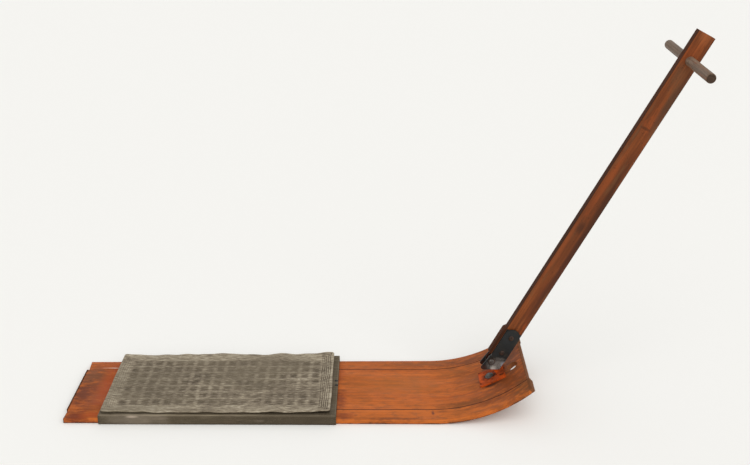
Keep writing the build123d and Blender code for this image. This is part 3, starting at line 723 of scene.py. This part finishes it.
def shapeMat(mesh, look, linesX, linesY):
    # Moves each point of the flat grid to its place on the worn mat
    reliefLayer = mesh.verts.layers.float.new("relief")
    for vert in mesh.verts:
        x = linesX[round((vert.co.x + 1) / 2 * (len(linesX) - 1))]
        y = linesY[round((vert.co.y + 1) / 2 * (len(linesY) - 1))]
        fromRim = min(matHalfX - abs(x), matHalfY - abs(y))
        share, z = wornHeight(x, y, fromRim, look)
        vert[reliefLayer] = share
        px, py = roundedCorner(x, y, look)
        edge = smooth(1 - fromRim / look["liftReach"])
        lifted = look["liftMiddle"] + look["liftSwing"] * rimWave(x, y, look, look["liftSeed"])
        fromCorner = math.hypot(x - matHalfX, y - matHalfY)
        z += edge * look["rimLift"] * max(lifted, look["liftLeast"])
        z += look["cornerLift"] * smooth(1 - fromCorner / look["cornerReach"])
        px += edge * look["swayX"] * rimWave(y, x, look, look["swayXSeed"])
        py += edge * look["swayY"] * rimWave(x, y, look, look["swayYSeed"])
        py -= edge * look["nearStretch"] if y < 0 else 0
        vert.co = Vector((px, py, z))
    return reliefLayer


def makeMat(look):
    centre = (matLow + matHigh) / 2
    pitchX, pitchY = look["columnPitch"], look["rowPitch"]
    bar, slope = look["barHalf"], look["barSlope"]
    marksX = [0, bar / 2, bar, bar + slope / 3, bar + slope * 2 / 3, bar + slope,
              pitchX / 2 - look["pocketFlat"], pitchX / 2]
    marksX += [pitchX - mark for mark in marksX[-2:0:-1]]
    marksY = [pitchY * step / look["stepsPerRow"] for step in range(look["stepsPerRow"])]
    linesX = featureLines(look, matHalfX, look["columns"], pitchX, marksX)
    linesY = featureLines(look, matHalfY, look["rows"], pitchY, marksY)
    mesh = bmesh.new()
    bmesh.ops.create_grid(mesh, x_segments=len(linesX) - 1, y_segments=len(linesY) - 1, size=1.0)
    rim = [e for e in mesh.edges if e.is_boundary]
    reliefLayer = shapeMat(mesh, look, linesX, linesY)
    # Skirt down from the rim, then the hollow underside of the lifted edge, and the flat sole. The skirt's
    # relief lies below the darkest colour: painted shade on the mat's side under the lifted rim.
    skirt = bmesh.ops.extrude_edge_only(mesh, edges=rim)["geom"]
    for vert in (g for g in skirt if isinstance(g, bmesh.types.BMVert)):
        vert.co.z -= matHigh.z - matLow.z - look["rimRadius"]
        vert[reliefLayer] = look["skirtShare"]
    foot = [g for g in skirt if isinstance(g, bmesh.types.BMEdge) and g.is_boundary]
    inner = bmesh.ops.extrude_edge_only(mesh, edges=foot)["geom"]
    shrinkX, shrinkY = 1 - look["liftReach"] / matHalfX, 1 - look["liftReach"] / matHalfY
    for vert in (g for g in inner if isinstance(g, bmesh.types.BMVert)):
        vert.co = Vector((vert.co.x * shrinkX, vert.co.y * shrinkY, 0.0))
    sole = [g for g in inner if isinstance(g, bmesh.types.BMEdge) and g.is_boundary]
    bmesh.ops.contextual_create(mesh, geom=sole)
    bmesh.ops.translate(mesh, verts=mesh.verts, vec=(centre.x, centre.y, matLow.z))
    bmesh.ops.recalc_face_normals(mesh, faces=mesh.faces)
    mat = meshObject("rubberMat", mesh, rubber("mouldedRubberGrey", look), "sled")
    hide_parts("rubber_mat")
    print("rubber mat:", len(mat.data.polygons), "faces")


makeMat(matLook)

# Pad: rubbered canvas over a firm core, wrapped over the deck's sides, rounded, worn pale and dented
padLook = {
    "tailHalf": 120.0 * mm, "noseHalf": 126.0 * mm, "noseReach": 972.1 * mm, "standOut": 3.8 * mm,
    "gap": 0.3 * mm, "roof": 11.3 * mm, "insideReach": 50 * mm, "tailInset": 3.5 * mm,
    "edgeRadius": 3.2 * mm, "edgeSegments": 5, "steps": 70, "rise": 6, "topSteps": 9, "topPitch": 12.5 * mm,
    # Relief that the dust and the painted light follow: darkest at the foot for painted shade and dirt,
    # palest at the rounded top edge for a painted highlight and wear; and the dents
    "touch": 0.1 * mm, "edgeFade": 1.3, "sideShare": 0.25, "edgeShare": 0.9, "topShare": 0.55,
    "footPlain": 2 * mm, "dentAbove": 1 * mm, "dent": 1.1 * mm, "dentWaves": (22, 22, 60),
    "sideDent": 0.4 * mm, "topDent": 0.6, "topDentReach": 16 * mm,
    "brushed": ((36 * mm, 3 * mm, 2.2 * mm), 3, 0.65, (3, 1, 5)),
    "cloudShare": 0.9, "brushShare": 1.5, "range": (1.02, 2.6),
    "colours": ((0.0, "#30271A"), (0.3, "#544A39"), (0.55, "#746856"), (0.8, "#94886F"), (1.0, "#B0A48E")),
    "stainTone": ("#4C4232", (0.45, 0.68), 0.45), "dustTone": ("#8C806D", (0.55, 0.72), 0.4),
    "patches": (((-0.14, -0.125, 0.012), (0.34, 0.05, 0.10), "#42382A", 0.75),
                ((-0.50, -0.125, 0.012), (0.10, 0.03, 0.03), "#85796A", 0.5),
                ((-0.500, -0.125, 0.019), (0.020, 0.02, 0.004), "#AC9C8A", 0.8),
                ((-0.235, -0.125, 0.010), (0.024, 0.02, 0.006), "#6E6254", 0.7),
                ((-0.076, 0.0, 0.033), (0.030, 0.40, 0.030), "#463C2D", 0.7)),
}
padTail, padNose = padLow.x + padLook["tailInset"], padHigh.x


def halfAt(look, x, standOut):
    # Half the deck's width at a place along it, and standOut more
    share = (x - deckLow.x) / look["noseReach"]
    return look["tailHalf"] + (look["noseHalf"] - look["tailHalf"]) * share + standOut


def padChannel(look):
    # Block that flares with the deck, with a channel below that takes the boards
    mesh = bmesh.new()
    bmesh.ops.create_cube(mesh, size=1.0)
    for vert in mesh.verts:
        x = padTail if vert.co.x < 0 else padNose
        vert.co = Vector((x, math.copysign(halfAt(look, x, look["standOut"]), vert.co.y),
                          padHigh.z if vert.co.z > 0 else padLow.z))
    # Cut the channel's outline into the block, drop the inside and line it
    flare = math.atan2(halfAt(look, padNose, 0) - halfAt(look, padTail, 0), padNose - padTail)
    for side in (-1, 1):
        sliceMesh(mesh, (padTail, side * halfAt(look, padTail, look["gap"]), 0),
                  (-math.sin(flare) * side, math.cos(flare), 0))
    sliceMesh(mesh, (0, 0, look["roof"]), (0, 0, 1))
    inside = [f for f in mesh.faces if abs(f.calc_center_median().y) < look["insideReach"]
              and f.calc_center_median().z < look["roof"]]
    bmesh.ops.delete(mesh, geom=inside, context="FACES")
    loose = [e for e in mesh.edges if e.is_wire]
    bmesh.ops.delete(mesh, geom=loose, context="EDGES")
    low, high = padLow.z, look["roof"]

    def corner(x, y, z):
        return min(mesh.verts, key=lambda v: (v.co - Vector((x, y, z))).length)

    for first, second in (((-1, low), (-1, high)), ((-1, high), (1, high)), ((1, high), (1, low))):
        lining = [corner(x, side * halfAt(look, x, look["gap"]), z) for x, (side, z) in
                  ((padTail, first), (padTail, second), (padNose, second), (padNose, first))]
        mesh.faces.new(lining)
    bmesh.ops.recalc_face_normals(mesh, faces=mesh.faces)
    return mesh


def roundAndDivide(mesh, look):
    # Round the top edges, then divide the long faces for the dents
    top = [f for f in mesh.faces if f.normal.z > 0.9 and f.calc_center_median().z > padHigh.z - mm]
    topEdges = [e for e in mesh.edges if sum(f in top for f in e.link_faces) == 1]
    bmesh.ops.bevel(mesh, geom=topEdges, offset=look["edgeRadius"], offset_type="OFFSET", profile=0.5,
                    segments=look["edgeSegments"], affect="EDGES", clamp_overlap=True, material=-1)
    for step in range(1, look["steps"]):
        sliceMesh(mesh, (padTail + (padNose - padTail) * step / look["steps"], 0, 0), (1, 0, 0))
    sideHigh = padHigh.z - look["edgeRadius"] - padLow.z
    for step in range(1, look["rise"]):
        sliceMesh(mesh, (0, 0, padLow.z + sideHigh * step / look["rise"]), (0, 0, 1))
    for step in range(-look["topSteps"], look["topSteps"] + 1):
        sliceMesh(mesh, (0, look["topPitch"] * step, 0), (0, 1, 0))


def dentPad(mesh, look):
    # Gives each point its relief for the dust and the painted shade and highlight, and pushes the sides and
    # the top's border in and out
    reliefLayer = mesh.verts.layers.float.new("relief")
    for vert in mesh.verts:
        x, y, z = vert.co
        half = halfAt(look, x, look["standOut"])
        fromTop = padHigh.z - z
        fromSide = min(half - abs(y), x - padTail, padNose - x)
        onSide = abs(y) > half - look["edgeRadius"]
        aboveRoof = z > look["roof"] + mm
        edge = smooth(1 - max(fromTop, fromSide) / (look["edgeRadius"] * look["edgeFade"]))
        # The foot keeps relief 0, for painted shade and dirt; the rounded top edge gets the most, for a
        # painted highlight and wear
        vert[reliefLayer] = 0.0
        if z > padLow.z + look["footPlain"]:
            vert[reliefLayer] = look["sideShare"] + look["edgeShare"] * edge
        if fromTop < look["touch"] and fromSide > look["edgeRadius"]:
            vert[reliefLayer] = look["topShare"]
        if z > padLow.z + look["dentAbove"] and (onSide or aboveRoof or x in (padTail, padNose)):
            wavesX, wavesY, wavesZ = look["dentWaves"]
            wobble = look["dent"] * noise.noise(Vector((x * wavesX, y * wavesY, z * wavesZ)))
            if onSide:
                vert.co.y += math.copysign(min(wobble, look["sideDent"]), y)
            elif aboveRoof and fromTop < look["touch"] and fromSide < look["topDentReach"]:
                vert.co.z += min(wobble * look["topDent"], 0.0)


def makePad(look):
    mesh = padChannel(look)
    roundAndDivide(mesh, look)
    dentPad(mesh, look)
    bmesh.ops.triangulate(mesh, faces=[f for f in mesh.faces if len(f.verts) > 4])
    bmesh.ops.recalc_face_normals(mesh, faces=mesh.faces)
    pad = meshObject("seatPad", mesh, rubber("rubberedCanvasWorn", look), "sled")
    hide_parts("seat_pad")
    print("seat pad:", len(pad.data.polygons), "faces")


makePad(padLook)

# Two tacks that hold the mat's nose end down to the pad
tackLook = {"radius": 3.6 * mm, "rise": 0.5, "sink": 0.3 * mm, "segments": 24, "rings": 12,
            "places": ((-82.1 * mm, 13.3 * mm), (-81.1 * mm, -4.9 * mm))}


def makeTacks(look):
    mesh = bmesh.new()
    foot = padHigh.z - look["sink"]
    for x, y in look["places"]:
        ball = bmesh.ops.create_uvsphere(mesh, u_segments=look["segments"], v_segments=look["rings"],
                                         radius=look["radius"])["verts"]
        bmesh.ops.scale(mesh, verts=ball, vec=(1, 1, look["rise"]))
        bmesh.ops.translate(mesh, verts=ball, vec=(x, y, foot))
    cut = sliceMesh(mesh, (0, 0, foot), (0, 0, 1), clear_inner=True)
    bmesh.ops.edgeloop_fill(mesh, edges=[g for g in cut["geom_cut"] if isinstance(g, bmesh.types.BMEdge)])
    bmesh.ops.recalc_face_normals(mesh, faces=mesh.faces)
    meshObject("matTacks", mesh, steels["blackJapanOnSteel"], "sled")
    print("tacks made")


makeTacks(tackLook)
